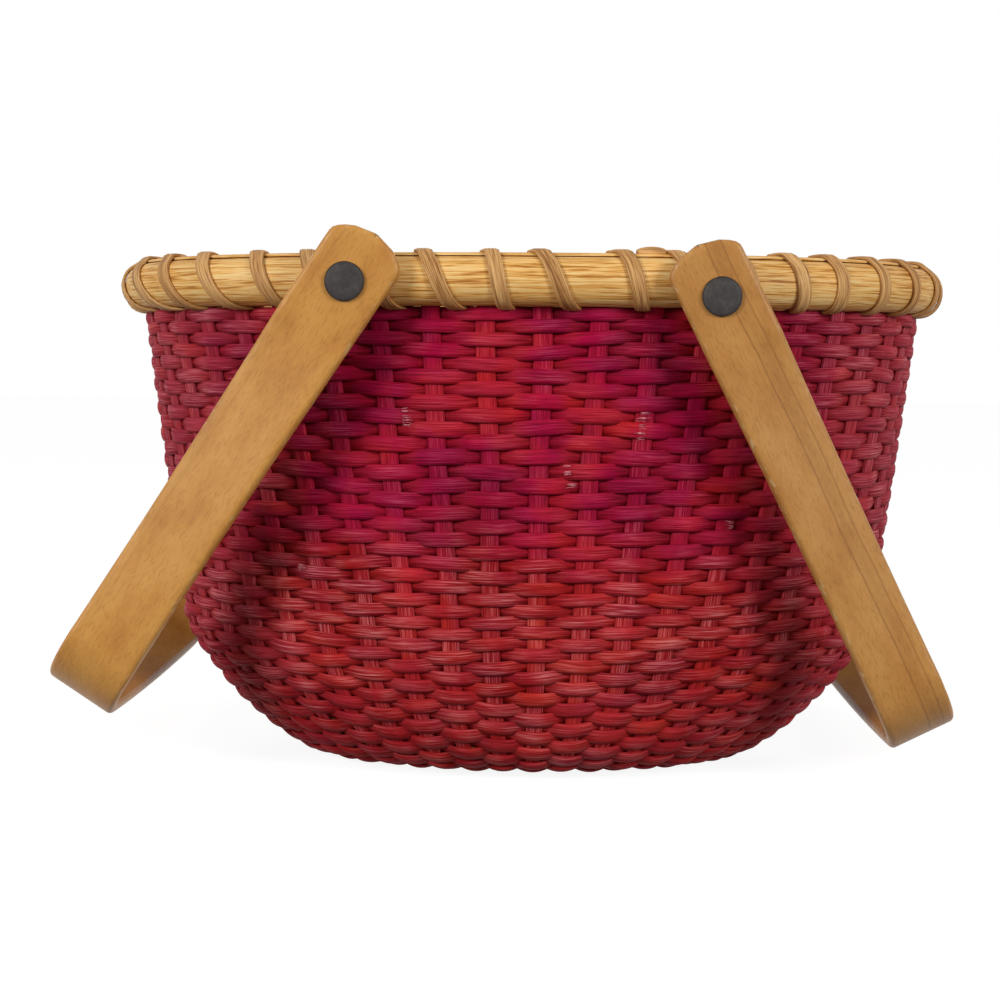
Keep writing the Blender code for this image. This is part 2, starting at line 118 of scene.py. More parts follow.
OVAL_POWER = 2.2
STAKES = 47
PLATE_HALF_LENGTH = 84.6 * MM
PLATE_HALF_WIDTH = 51.6 * MM
GROOVE_LEVEL = 3.2 * MM
KNEE_HALF_LENGTH = 130.6 * MM
KNEE_HALF_WIDTH = 90.5 * MM
KNEE_HEIGHT = 50.0 * MM
TOP_HALF_LENGTH = 145.3 * MM
TOP_HALF_WIDTH = 93.0 * MM
WEAVE_TOP = 164.2 * MM
RIM_BOTTOM = 167.2 * MM
RIM_TOP = 183.8 * MM
# The low bend sweeps out slowly at the ends and quickly at the front and back
END_SWEEP = 1.6
FRONT_SWEEP = 0.6
RISE_SWEEP = 1.6
# How much closer together the stakes stand at the ends, in even steps from the plate to the rim
STAKE_CROWDING = (0.0, 0.02, 0.03, -0.04, -0.10, -0.16)
BEND_LEVELS = 61
UPPER_LEVELS = 41
OVAL_POINTS = 1441
GRID_COLUMNS = 941
GRID_LEVELS = 181
STAKE_STATIONS = 64
STAKE_THICKNESS = 1.8 * MM
STAKE_FOOT = 5.2 * MM
STAKE_TOP_GAP = 0.8 * MM
STAKE_SWAY = 0.45 * MM
SWAY_POINTS = 7
HELD_SWAY = 0.3
WIDTH_SPREAD = 0.03
# How far apart the stakes' stock is cut, along the reed and across it
CUT_APART = 310 * MM
CUT_ASIDE = 50 * MM
TAPER_RUNS = (0.0, 40 * MM, 75 * MM, 180 * MM)
TAPER_HALF_WIDTHS = (2.0 * MM, 2.7 * MM, 3.05 * MM, 3.25 * MM)


def wall_levels():
    """The wall's half length, half width and height, from the plate's edge to under the rim."""
    plate = np.array((PLATE_HALF_LENGTH, PLATE_HALF_WIDTH, GROOVE_LEVEL))
    knee = np.array((KNEE_HALF_LENGTH, KNEE_HALF_WIDTH, KNEE_HEIGHT))
    top = np.array((TOP_HALF_LENGTH, TOP_HALF_WIDTH, WEAVE_TOP))
    bend = [(math.sin(turn) ** END_SWEEP, math.sin(turn) ** FRONT_SWEEP, 1 - math.cos(turn) ** RISE_SWEEP)
            for turn in np.linspace(0.0, math.pi / 2, BEND_LEVELS)]
    straight = np.linspace(0.0, 1.0, UPPER_LEVELS)[1:, None]
    return np.concatenate([plate + (knee - plate) * np.array(bend), knee + (top - knee) * straight])


def oval(half_length, half_width, turns):
    """Points of the oval at shares of its own length, from its +X end, seen from above to the left."""
    angle = np.linspace(0.0, 2 * math.pi, OVAL_POINTS)
    x = half_length * np.sign(np.cos(angle)) * np.abs(np.cos(angle)) ** (2 / OVAL_POWER)
    y = half_width * np.sign(np.sin(angle)) * np.abs(np.sin(angle)) ** (2 / OVAL_POWER)
    along = np.concatenate([[0.0], np.cumsum(np.hypot(np.diff(x), np.diff(y)))])
    wanted = (turns % 1.0) * along[-1]
    return np.interp(wanted, along, x), np.interp(wanted, along, y)


def gone_along(points):
    """How far along their line each of the points is."""
    return np.concatenate([[0.0], np.cumsum(np.linalg.norm(np.diff(points, axis=0), axis=1))])


def wall_net(columns, steps):
    """Points of the wall's middle in even steps up every column, how far each column is stretched,
    and the length of the front one."""
    levels = wall_levels()
    front = np.concatenate([[0.0], np.cumsum(np.hypot(np.diff(levels[:, 1]), np.diff(levels[:, 2])))])
    crowding = np.interp(front / front[-1], np.linspace(0.0, 1.0, len(STAKE_CROWDING)), STAKE_CROWDING)
    turns = np.linspace(0.0, 1.0, columns)
    net = np.empty((len(levels), columns, 3))
    for row, (half_length, half_width, height) in enumerate(levels):
        moved = turns + crowding[row] * np.sin(4 * math.pi * turns) / (4 * math.pi)
        net[row, :, 0], net[row, :, 1] = oval(half_length, half_width, moved)
        net[row, :, 2] = height
    even = np.empty((steps, columns, 3))
    stretch = np.empty(columns)
    for column in range(columns):
        lengths = gone_along(net[:, column])
        stretch[column] = lengths[-1] / front[-1]
        wanted = np.linspace(0.0, lengths[-1], steps)
        for axis in range(3):
            even[:, column, axis] = np.interp(wanted, lengths, net[:, column, axis])
    # Feet run level into the groove, and tops stand upright between the rims
    foot = even[:1] * (1 - STAKE_FOOT / PLATE_HALF_WIDTH)
    foot[..., 2] = GROOVE_LEVEL
    tops = even[-1:].copy()
    tops[..., 2] = RIM_TOP
    return np.concatenate([foot, even, tops]), stretch, front[-1]


wall_grid, column_stretch, front_run = wall_net(GRID_COLUMNS, GRID_LEVELS)
top_end = front_run + RIM_TOP - WEAVE_TOP
grid_runs = np.concatenate([[-STAKE_FOOT], np.linspace(0.0, front_run, GRID_LEVELS), [top_end]])


def on_wall(run, turn):
    """Points on the middle of the wall, and its directions there, at runs up from the plate."""
    # Kept just short of the last level, which has none above it
    level = np.clip(np.interp(run, grid_runs, np.arange(len(grid_runs))), 0, len(grid_runs) - 1.001)
    column = (turn % 1.0) * (wall_grid.shape[1] - 1)
    low, left = level.astype(int), np.minimum(column.astype(int), wall_grid.shape[1] - 2)
    up, over = (level - low)[:, None], (column - left)[:, None]
    a, b = wall_grid[low, left], wall_grid[low, left + 1]
    c, d = wall_grid[low + 1, left], wall_grid[low + 1, left + 1]
    point = (a * (1 - over) + b * over) * (1 - up) + (c * (1 - over) + d * over) * up
    aside = (b - a) * (1 - up) + (d - c) * up
    upward = (c - a) * (1 - over) + (d - b) * over
    aside /= np.linalg.norm(aside, axis=1, keepdims=True)
    upward /= np.linalg.norm(upward, axis=1, keepdims=True)
    outward = np.cross(aside, upward)
    outward /= np.linalg.norm(outward, axis=1, keepdims=True)
    return point, aside, upward, outward


def unbent(along, across, depth):
    """The place of each point of a skin in the straight, unbent reed."""
    return np.stack(np.broadcast_arrays(along, across, depth), axis=2)


def lofted(name, rings, grain, finish, closed=False, proud=None):
    """One skin through rings of points. Each point carries its place in the unbent reed, and how
    far it stands out of the work, from 0 to 1."""
    count, size = rings.shape[:2]
    mesh = bpy.data.meshes.new(name)
    first = np.arange(count if closed else count - 1)[:, None] * size
    after = (first + size) % (count * size)
    side = np.arange(size)[None, :]
    following = (side + 1) % size
    quads = np.stack([first + side, first + following, after + following, after + side], axis=2)
    faces = quads.reshape(-1, 4).tolist()
    if not closed:
        faces += [list(range(size))[::-1], list(range((count - 1) * size, count * size))]
    mesh.from_pydata(rings.reshape(-1, 3).tolist(), [], faces)
    mesh.attributes.new("grain", "FLOAT_VECTOR", "POINT")
    mesh.attributes["grain"].data.foreach_set("vector", np.asarray(grain, np.float32).reshape(-1))
    if proud is not None:
        mesh.attributes.new("proud", "FLOAT", "POINT")
        mesh.attributes["proud"].data.foreach_set("value", np.asarray(proud, np.float32).reshape(-1))
    mesh.shade_smooth()
    mesh.materials.append(finish)
    piece = bpy.data.objects.new(name, mesh)
    bpy.context.scene.collection.objects.link(piece)
    return piece


def joined(name, pieces):
    """Several skins made into one piece of that name."""
    with bpy.context.temp_override(active_object=pieces[0], selected_editable_objects=pieces):
        bpy.ops.object.join()
    pieces[0].name = name
    pieces[0].data.name = name
    return pieces[0]


def dyed_reed(name, fibre_gap, fibre_depth):
    """Flat reed out of a hot dye bath: matt, ribbed lengthwise by its fibres, the dye uneven."""
    finish, tree, shader = new_finish(name, {"Roughness": 0.7, "IOR": 1.45, "Specular IOR Level": 0.12})
    grain = add(tree, "Attribute", attribute_name="grain").outputs["Vector"]
    proud = add(tree, "Attribute", attribute_name="proud").outputs["Fac"]
    place = add(tree, "TexCoord").outputs["Object"]
    spot = add(tree, "SeparateXYZ", {"Vector": place})
    drift = add(tree, "TexNoise", {"Vector": place, "Scale": 30.0, "Detail": 3.0})
    # Three colours over the wall: crimson magenta in the middle, brick red low down, dusty rose at the two
    # ends
    run = add(tree, "Math", {0: spot.outputs["X"]}, operation="ABSOLUTE")
    run = add(tree, "Math", {0: drift, 1: 90 * MM, 2: run}, operation="MULTIPLY_ADD")
    rose = add(tree, "MapRange", {"Value": run, "From Min": 118 * MM, "From Max": 175 * MM},
               interpolation_type="SMOOTHSTEP")
    sunk = add(tree, "Math", {0: drift, 1: 70 * MM, 2: spot.outputs["Z"]}, operation="MULTIPLY_ADD")
    brick = add(tree, "MapRange", {"Value": sunk, "From Min": 132 * MM, "From Max": 98 * MM},
                interpolation_type="SMOOTHSTEP")
    magenta = add(tree, "ValToRGB", {"Fac": drift},
                  stops=((0.36, "#9A003C"), (0.49, "#AE0442"), (0.60, "#BE2238")))
    lower = add(tree, "ValToRGB", {"Fac": drift}, stops=((0.38, "#AA1C24"), (0.62, "#C63638")))
    body = add(tree, "Mix", {"Factor": brick, "A": magenta, "B": lower}, data_type="RGBA")
    body = add(tree, "Mix", {"Factor": rose, "A": body, "B": linear("#B8404E")}, data_type="RGBA")
    # One reed took more dye than its neighbour, over runs of about 45 mm
    uneven = streaks(tree, grain, 22.0, 60.0, detail=1.5)
    spread = {"Value": uneven, "From Min": 0.3, "From Max": 0.7}
    hue = add(tree, "MapRange", spread | {"To Min": 0.492, "To Max": 0.506})
    depth = add(tree, "MapRange", spread | {"To Min": 0.80, "To Max": 1.16})
    body = add(tree, "HueSaturation", {"Hue": hue, "Value": depth, "Color": body})
    # Fibres run along the reed, and the dye sits darker between them. Where the reed lies back in the
    # crossings, painted shade darkens it
    fibre = streaks(tree, grain, 70.0, 1 / fibre_gap, detail=3.0, roughness=0.6)
    shade = add(tree, "ValToRGB", {"Fac": fibre},
                stops=((0.32, "#8C4650"), (0.46, "#DCBCC2"), (0.58, "#FFFFFF")))
    # Painted shade: the less far a point stands out of the work, the darker and redder its colour
    painted_recess_shade = add(tree, "ValToRGB", {"Fac": proud},
                 stops=((0.0, "#D08088"), (0.5, "#F2DCDC"), (0.9, "#FFFFFF")))
    for strength, tint in ((0.85, shade), (1.0, painted_recess_shade)):
        body = add(tree, "Mix", {"Factor": strength, "A": body, "B": tint},
                   data_type="RGBA", blend_type="MULTIPLY")
    # Pale dusty pink on the raised fibres of the crests, most of all low down and at the ends: partly wear
    # of the dye from handling, partly painted highlight
    wear_and_highlight = add(tree, "MapRange", {"Value": fibre, "From Min": 0.48, "From Max": 0.68})
    patch = add(tree, "TexNoise", {"Vector": place, "Scale": 75.0, "Detail": 2.0})
    patch = add(tree, "MapRange", {"Value": patch, "From Min": 0.38, "From Max": 0.64})
    zone = add(tree, "Math", {0: brick, 1: rose}, operation="MAXIMUM")
    zone = add(tree, "MapRange", {"Value": zone, "To Min": 0.20, "To Max": 0.75})
    for share in (patch, zone, proud):
        wear_and_highlight = add(tree, "Math", {0: wear_and_highlight, 1: share}, operation="MULTIPLY")
    body = add(tree, "Mix", {"Factor": wear_and_highlight, "A": body, "B": linear("#E59A9A")}, data_type="RGBA")
    ribbed = add(tree, "Bump", {"Height": fibre, "Strength": 0.8, "Distance": fibre_depth})
    fill(shader, {"Base Color": body, "Normal": ribbed})
    return finish


# Fibres are about 0.25 mm apart, drawn a little coarser so that they show
stake_reed = dyed_reed("dyed_flat_reed_stakes", 0.36 * MM, 0.20 * MM)
# The maker's hand: small unevenness, drawn in order from one seeded stream
hand = np.random.RandomState(47)
top_run = grid_runs[-1] - STAKE_TOP_GAP
runs = np.linspace(-STAKE_FOOT, top_run, STAKE_STATIONS)
# A flat reed's section, as shares of its half width and half thickness
flat_section = np.array([(-1.0, 0.35), (-0.8, 0.85), (-0.35, 1.0), (0.35, 1.0), (0.8, 0.85), (1.0, 0.35),
                         (1.0, -0.35), (0.8, -0.85), (-0.8, -0.85), (-1.0, -0.35)])
stakes = []
for stake in range(STAKES):
    sway_runs = np.linspace(-STAKE_FOOT, top_run, SWAY_POINTS)
    sway = np.interp(runs, sway_runs, hand.normal(0.0, STAKE_SWAY, SWAY_POINTS))
    # The rims hold the tops in line
    sway[runs > front_run] *= HELD_SWAY
    point, aside, upward, outward = on_wall(runs, np.full(len(runs), (stake + 0.5) / STAKES))
    point += aside * sway[:, None]
    half = np.interp(runs, TAPER_RUNS, TAPER_HALF_WIDTHS) * (1 + hand.normal(0.0, WIDTH_SPREAD))
    across = half[:, None] * flat_section[None, :, 0]
    depth = np.broadcast_to(STAKE_THICKNESS / 2 * flat_section[None, :, 1], across.shape)
    rings = point[:, None] + aside[:, None] * across[..., None] + outward[:, None] * depth[..., None]
    # Each stake is cut from another place of the reed, so no two have the same fibres
    grain = unbent(runs[:, None] + CUT_APART * stake, across + CUT_ASIDE * stake, depth)
    # Stakes lie deeper in the work than the reed that passes over them, so their low share darkens them with
    # painted shade and keeps most of the pale wear and painted highlight off them
    standing = np.broadcast_to(0.25 + 0.35 * flat_section[None, :, 1], across.shape)
    stakes.append(lofted(f"stake_{stake}", rings, grain, stake_reed, proud=standing))
stakes = joined("stakes", stakes)
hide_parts("woven_wall")
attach(stakes, "basket")


# Weaving reed
# Flat-oval reed about 4.5 mm wide goes in front of one stake and behind the next. The count of
# stakes is odd, so one spiral changes sides by itself at every round. Each length is a piece.

REED_WIDTH = 4.4 * MM
REED_THICKNESS = 1.95 * MM
REED_SWING = 1.15 * MM
STATIONS = 10
FRONT_STAKE = 35
STAKE_SPACING = 16 * MM
TOP_ROW_RISE = 0.6 * MM
# The lowest rows start this far up from the plate, as shares of the reed's width
LOWEST_ROW = 0.4
NEXT_ROW_LIMIT = 0.45
# The height of a row against the reed's width, from the plate up to the rim
ROW_SHARES = (0.91, 0.89, 0.90, 0.86, 0.98, 1.10, 1.03, 0.92)
# How unevenly the reed is lifted, made full and made to stand out at each stake
LIFT_SPREAD = 0.28 * MM
FULLNESS_SPREAD = 0.08
STAND_SPREAD = 0.10 * MM
# Waves of looser and tighter packing round the basket, and the rise that shifts each by a radian
PACKING_WAVES = ((5, 9 * MM), (8, -13 * MM), (13, 7 * MM))
PACKING_WANDER = 0.22 * MM
PACKING_FADE = 12 * MM
TOP_ROW_CREEP = 0.2 * MM
ROW_FILL = 1.04
# The reed's height against the pitch, from the stake it crosses in front of to the one behind
LENS_PLACES = (0.0, 0.25, 0.4, 0.5, 0.6, 0.7, 0.8, 1.0)
LENS_HEIGHTS = (1.0, 1.0, 0.97, 0.90, 0.74, 0.46, 0.26, 0.22)
# Its middle's height against the pitch, over shares of the rows: it closes up most at the plate
CLOSING_ROWS = (0.0, 0.02, 0.12, 0.3, 0.5)
CLOSING_HEIGHTS = (2.7, 1.8, 1.55, 1.3, 1.17)

weaver_reed = dyed_reed("dyed_flat_oval_weaving_reed", 0.33 * MM, 0.20 * MM)
run = front_run + TOP_ROW_RISE
row_runs = []
while run > NEXT_ROW_LIMIT * REED_WIDTH:
    row_runs.append(run)
    run -= REED_WIDTH * float(np.interp(run / front_run, np.linspace(0.0, 1.0, len(ROW_SHARES)), ROW_SHARES))
row_runs.append(LOWEST_ROW * REED_WIDTH)
row_runs = np.array(row_runs[::-1])
rows = len(row_runs)
row_pitch = np.gradient(row_runs)
over_first = (rows + FRONT_STAKE) % 2
crossings = np.arange(-STAKES, (rows + 1) * STAKES)
lift = hand.normal(0.0, LIFT_SPREAD, len(crossings))
fullness = hand.normal(1.0, FULLNESS_SPREAD, len(crossings))
stand = hand.normal(0.0, STAND_SPREAD, len(crossings))


def weave_reed(name, start, end):
    """One length of reed between two places, counted in stakes passed since the first row began."""
    passed = np.linspace(start, end, int(round((end - start) * STATIONS)) + 1)
    row = (passed - FRONT_STAKE) / STAKES
    run = np.interp(row, np.arange(rows), row_runs)
    # The first and last rounds run out against the plate and the rim
    run = np.clip(run, row_runs[0], row_runs[-1])
    pitch = np.interp(row, np.arange(rows), row_pitch)
    pitch = pitch * np.interp(passed / STAKES % 1.0, np.linspace(0.0, 1.0, GRID_COLUMNS), column_stretch)
    # Neighbouring rows rise and fall together where the weaver's hand packed them more or less
    turn = 2 * math.pi * passed / STAKES
    packed = sum(np.sin(waves * turn + run / rise) for waves, rise in PACKING_WAVES)
    free = np.clip(np.minimum(run - row_runs[0], row_runs[-1] - run) / PACKING_FADE, 0.0, 1.0)
    run = run + PACKING_WANDER * packed * free
    run = run + np.interp(passed, crossings, lift) * (0.25 + 0.75 * free)
    run = np.minimum(run, row_runs[-1] + TOP_ROW_CREEP)
    point, aside, upward, outward = on_wall(run, passed / STAKES)
    # The swing in and out is flatter over each stake than a plain wave, and as far at its most
    phase = math.pi * (passed - 0.5 + over_first)
    side = np.cos(phase)
    side = side * (1.12 - 0.12 * side ** 2)
    away = np.arccos(np.clip(np.cos(phase), -1, 1)) / math.pi
    full = pitch * np.interp(passed, crossings, fullness) * ROW_FILL
    front = full * np.interp(away, LENS_PLACES, LENS_HEIGHTS)
    back = full * np.interp(1 - away, LENS_PLACES, LENS_HEIGHTS)
    closing = np.interp(row / rows, CLOSING_ROWS, CLOSING_HEIGHTS)
    middle = np.maximum(np.maximum(front, back), pitch * closing)
    depth = REED_SWING * side + np.interp(passed, crossings, stand)
    # Heights and outsets of the reed's section, from its outer face down, round and up again
    zero = np.zeros_like(full)
    ups = np.stack([zero, 0.34 * front, 0.5 * middle, 0.5 * middle, 0.34 * back,
                    zero, -0.34 * back, -0.5 * middle, -0.5 * middle, -0.34 * front], axis=1)
    outs = np.array([0.5, 0.41, 0.17, -0.17, -0.41, -0.5, -0.41, -0.17, 0.17, 0.41]) * REED_THICKNESS
    rings = (point[:, None] + upward[:, None] * ups[..., None]
             + outward[:, None] * (depth[:, None] + outs[None, :])[..., None])
    along = gone_along(point) + start * STAKE_SPACING
    grain = unbent(along[:, None], ups, outs)
    # The outer face stands proud where it crosses a stake. This share sets painted shade on the parts that
    # lie back, and the pale wear and painted highlight on the crests
    outerness = np.array([1.0, 0.85, 0.5, 0.3, 0.2, 0.2, 0.2, 0.3, 0.5, 0.85])
    crest = (0.5 + 0.5 * side)[:, None] * outerness[None, :]
    return lofted(name, rings, grain, weaver_reed, proud=crest)


# Shares of the way up at which one length ends and the next is laid in
SPLICE_SHARES = (0.09, 0.2, 0.32, 0.45, 0.58, 0.7, 0.83)
# How many stakes farther on each splice lies, and the gap in it, in stakes
SPLICE_SHIFT = 7.5
SPLICE_GAP = 0.1
# The share of a round by which the last length stops short
LAST_ROUND_SHORT = 0.6
first_round = FRONT_STAKE - 0.5 * STAKES
reed_ends = [first_round + share * (rows - 1) * STAKES + SPLICE_SHIFT for share in SPLICE_SHARES]
reed_ends = [first_round] + reed_ends + [FRONT_STAKE + (rows - LAST_ROUND_SHORT) * STAKES]
for number, (start, end) in enumerate(zip(reed_ends, reed_ends[1:]), 1):
    reed = weave_reed(f"weaving_reed_{number}", start, end - SPLICE_GAP)
    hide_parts("woven_wall")
    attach(reed, "basket")


# Frayed ends
# Where a length of reed runs out it is cut across and the next one laid in over it. The cut
# fibres stand out from the face of the work as pale splinters.

FACE_OUTSET = REED_SWING + REED_THICKNESS / 2
SPLINTER_HALF = 0.11 * MM
SPLINTER_SPACING = 0.45 * MM
SPLINTER_ROOT = 1.5 * MM
SPLINTER_BEDDING = 0.1 * MM
# Share of the way round, millimetres down from the weave's top and of height, and way it points
frayed_cuts = ((0.7005, 34.5, 6.0, 1), (0.7975, 33.0, 3.0, 1), (0.7965, 38.0, 8.0, -1),
               (0.7665, 52.0, 4.0, -1), (0.7690, 57.0, 2.0, -1), (0.6420, 88.0, 4.0, 1),
               (0.8420, 70.0, 4.0, -1), (0.2100, 45.0, 5.0, 1), (0.3300, 80.0, 5.0, -1))

# Broken reed: dry and matt, pale where the dye never reached the core
frayed, tree, shader = new_finish("frayed_reed_fibres",
                                  {"Roughness": 0.8, "IOR": 1.45, "Specular IOR Level": 0.1})
grain = add(tree, "Attribute", attribute_name="grain").outputs["Vector"]
parted = add(tree, "TexNoise", {"Vector": grain, "Scale": 900.0, "Detail": 2.0})
pale = add(tree, "ValToRGB", {"Fac": parted}, stops=((0.35, "#A83C54"), (0.6, "#DC949A")))
fill(shader, {"Base Color": pale})
splinters = []
for cut_turn, cut_drop, cut_height, way in frayed_cuts:
    for _ in range(int(cut_height * MM / SPLINTER_SPACING)):
        start_run = front_run - cut_drop * MM + hand.uniform(-0.5, 0.5) * (cut_height * MM)
        found = on_wall(np.array([start_run]), np.array([cut_turn]))
        base, aside, upward, outward = (values[0] for values in found)
        reach = way * hand.uniform(0.7, 2.4) * aside
        curl = hand.normal(0.0, 0.5) * upward
        parting = hand.uniform(0.0, 0.5) * outward
        tip = (reach + curl + parting) * MM
        base = base + outward * (FACE_OUTSET - SPLINTER_BEDDING) - aside * way * SPLINTER_ROOT
        stages = np.linspace(0.0, 1.0, 5)
        root = aside * way * SPLINTER_ROOT * np.minimum(stages * 2, 1.0)[:, None]
        middle = base + root + tip * stages[:, None] ** 1.5
        thin = SPLINTER_HALF * np.array([0.8, 1.0, 0.9, 0.6, 0.2])[:, None, None]
        corners = np.stack([upward, outward, -upward, -outward])[None]
        rings = middle[:, None] + thin * corners
        splinters.append(lofted("splinter", rings, rings, frayed))
splinters = joined("frayed_reed_ends", splinters)
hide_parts("woven_wall")
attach(splinters, "basket")


# Rims and cap
# Two lengths of half-round peeled reed are bent round the stakes' ends, one outside and one
# inside, with a thinner strip laid over the gap between them. Nothing but the lashing holds them.

CHANNEL_HALF = 1.2 * MM
OUTER_RIM_THICKNESS = 8.3 * MM
INNER_RIM_THICKNESS = 6.3 * MM
CAP_HALF_WIDTH = 3.6 * MM
CAP_THICKNESS = 1.2 * MM
CAP_REST = 0.2 * MM
RIM_STATIONS = 480
rim_level = (RIM_BOTTOM + RIM_TOP) / 2
rim_half_height = (RIM_TOP - RIM_BOTTOM) / 2


def peeled_reed(name, light, middle, dark):
    """Undyed reed core: satin, long parallel fibres, with pale and brown streaks along it."""
    finish, tree, shader = new_finish(name, {"Roughness": 0.55, "IOR": 1.45, "Specular IOR Level": 0.3})
    grain = add(tree, "Attribute", attribute_name="grain").outputs["Vector"]
    # Streaks about 1 mm apart that run for 35 mm, and fibres 0.35 mm apart between them
    broad = streaks(tree, grain, 28.0, 950.0, detail=3.0)
    fine = streaks(tree, grain, 110.0, 2900.0, detail=2.0)
    both = add(tree, "Math", {0: broad, 1: 0.45}, operation="MULTIPLY")
    both = add(tree, "Math", {0: fine, 1: 0.55, 2: both}, operation="MULTIPLY_ADD")
    colour = add(tree, "ValToRGB", {"Fac": both}, stops=((0.38, dark), (0.49, middle), (0.59, light)))
    # Slow changes of tone over about 110 mm
    tone = streaks(tree, grain, 9.0, 40.0, detail=1.0)
    tone = add(tree, "ValToRGB", {"Fac": tone}, stops=((0.3, "#DFCFB6"), (0.7, "#FFFFFF")))
    colour = add(tree, "Mix", {"Factor": 0.8, "A": colour, "B": tone},
                 data_type="RGBA", blend_type="MULTIPLY")
    ribbed = add(tree, "Bump", {"Height": both, "Strength": 0.5, "Distance": 0.4 * MM})
    fill(shader, {"Base Color": colour, "Normal": ribbed})
    return finish


rim_reed = peeled_reed("peeled_half_round_reed", "#FFE0A0", "#F5BE6A", "#B0722A")
rim_turns = np.linspace(0.0, 1.0, RIM_STATIONS + 1)[:-1]
rim_x, rim_y = oval(TOP_HALF_LENGTH, TOP_HALF_WIDTH, rim_turns)
rim_line = np.stack([rim_x, rim_y, np.zeros_like(rim_x)], axis=1)
tangent = np.roll(rim_line, -1, axis=0) - np.roll(rim_line, 1, axis=0)
rim_out = np.stack([tangent[:, 1], -tangent[:, 0], np.zeros_like(rim_x)], axis=1)
rim_out /= np.linalg.norm(rim_out, axis=1, keepdims=True)
rim_length = float(np.linalg.norm(rim_line - np.roll(rim_line, 1, axis=0), axis=1).sum())


def bent_round(name, section, level, node):
    """A section of (outset, height) points carried all the way round the rim."""
    rings = rim_line[:, None] + rim_out[:, None] * section[None, :, :1]
    rings[..., 2] = level + section[:, 1]
    grain = unbent(rim_turns[:, None] * rim_length, section[:, 1], section[:, 0])
    band = lofted(name, rings, grain, rim_reed, closed=True)
    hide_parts(node)
    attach(band, "basket")


def half_round(thickness, facing):
    """Half of a flattened circle with softened corners against the stakes."""
    angle = np.linspace(-math.pi / 2, math.pi / 2, 17)
    outset = facing * (CHANNEL_HALF + thickness * np.cos(angle) ** 0.85)
    height = rim_half_height * np.sin(angle)
    return np.stack([outset, height], axis=1)[::-facing]


outer_section = half_round(OUTER_RIM_THICKNESS, 1)
inner_section = half_round(INNER_RIM_THICKNESS, -1)
crown = np.linspace(math.pi, 0.0, 9)
cap_section = np.stack([CAP_HALF_WIDTH * np.cos(crown), CAP_THICKNESS * np.sin(crown) ** 0.7], axis=1)
bent_round("outer_rim_reed", outer_section, rim_level, "outer_rim")
bent_round("inner_rim_reed", inner_section, rim_level, "inner_rim")
bent_round("rim_cap_reed", cap_section, RIM_TOP + CAP_REST, "rim_cap")


# Lashing
# Flat binding cane goes over the cap, down the outside, through between two stakes and up the
# inside. The front turns stand where the photograph has them, and the back ones nearly evenly.

CANE_WIDTH = 5.1 * MM
CANE_THICKNESS = 1.25 * MM
CANE_GAP = 0.15 * MM
CANE_STATIONS = 64
# Where the cane is cut, in turns short of the side of the basket
CANE_CUT = 0.02
# Shares of the way round, seen from the +X end, where each front turn crosses the cap and then goes under
front_crests = (0.482, 0.510, 0.538, 0.568, 0.594, 0.625, 0.650, 0.676, 0.703, 0.733,
                0.754, 0.790, 0.813, 0.839, 0.865, 0.887, 0.912, 0.936, 0.962, 0.985)
front_unders = (0.520, 0.549, 0.5755, 0.594, 0.619, 0.644, 0.668, 0.693, 0.720, 0.741,
                0.770, 0.800, 0.824, 0.849, 0.871, 0.889, 0.912, 0.934, 0.957, 0.979)
BACK_TURNS = 18
BACK_SLANT = 0.014
TURN_SPREAD = 0.002

back_crests = np.linspace(front_crests[-1] - 1.0, front_crests[0], BACK_TURNS + 2)[1:-1]
back_crests += hand.normal(0.0, TURN_SPREAD, BACK_TURNS)
back_unders = back_crests + BACK_SLANT + hand.normal(0.0, TURN_SPREAD, BACK_TURNS)
all_crests = np.concatenate([back_crests, front_crests])
all_unders = np.concatenate([back_unders, front_unders])
turn_places = np.stack([all_crests, all_unders], axis=1).reshape(-1)
turn_counts = np.arange(len(turn_places)) / 2
lash_turns = len(all_crests)


def on_rim(shares):
    """The line between the rims at shares of the way round, and the way outwards there."""
    line_and_out = np.concatenate([rim_line, rim_out], axis=1)
    line_and_out = np.concatenate([line_and_out, line_and_out[:1]])
    ring_shares = np.append(rim_turns, 1.0)
    places = np.stack([np.interp(shares % 1.0, ring_shares, column) for column in line_and_out.T], axis=1)
    return places[:, :3], places[:, 3:]


def wrap_path():
    """The cane's way round both rims and the cap, and the direction that it faces on the way."""
    raised_cap = cap_section + (0.0, rim_half_height + CAP_REST)
    corners = np.concatenate([outer_section, inner_section, raised_cap])
    angle = np.linspace(math.pi / 2, -1.5 * math.pi, 721)
    facing = np.stack([np.cos(angle), np.sin(angle)], axis=1)
    touched = corners[np.argmax(facing @ corners.T, axis=1)]
    return touched + facing * (CANE_THICKNESS / 2 + CANE_GAP), facing


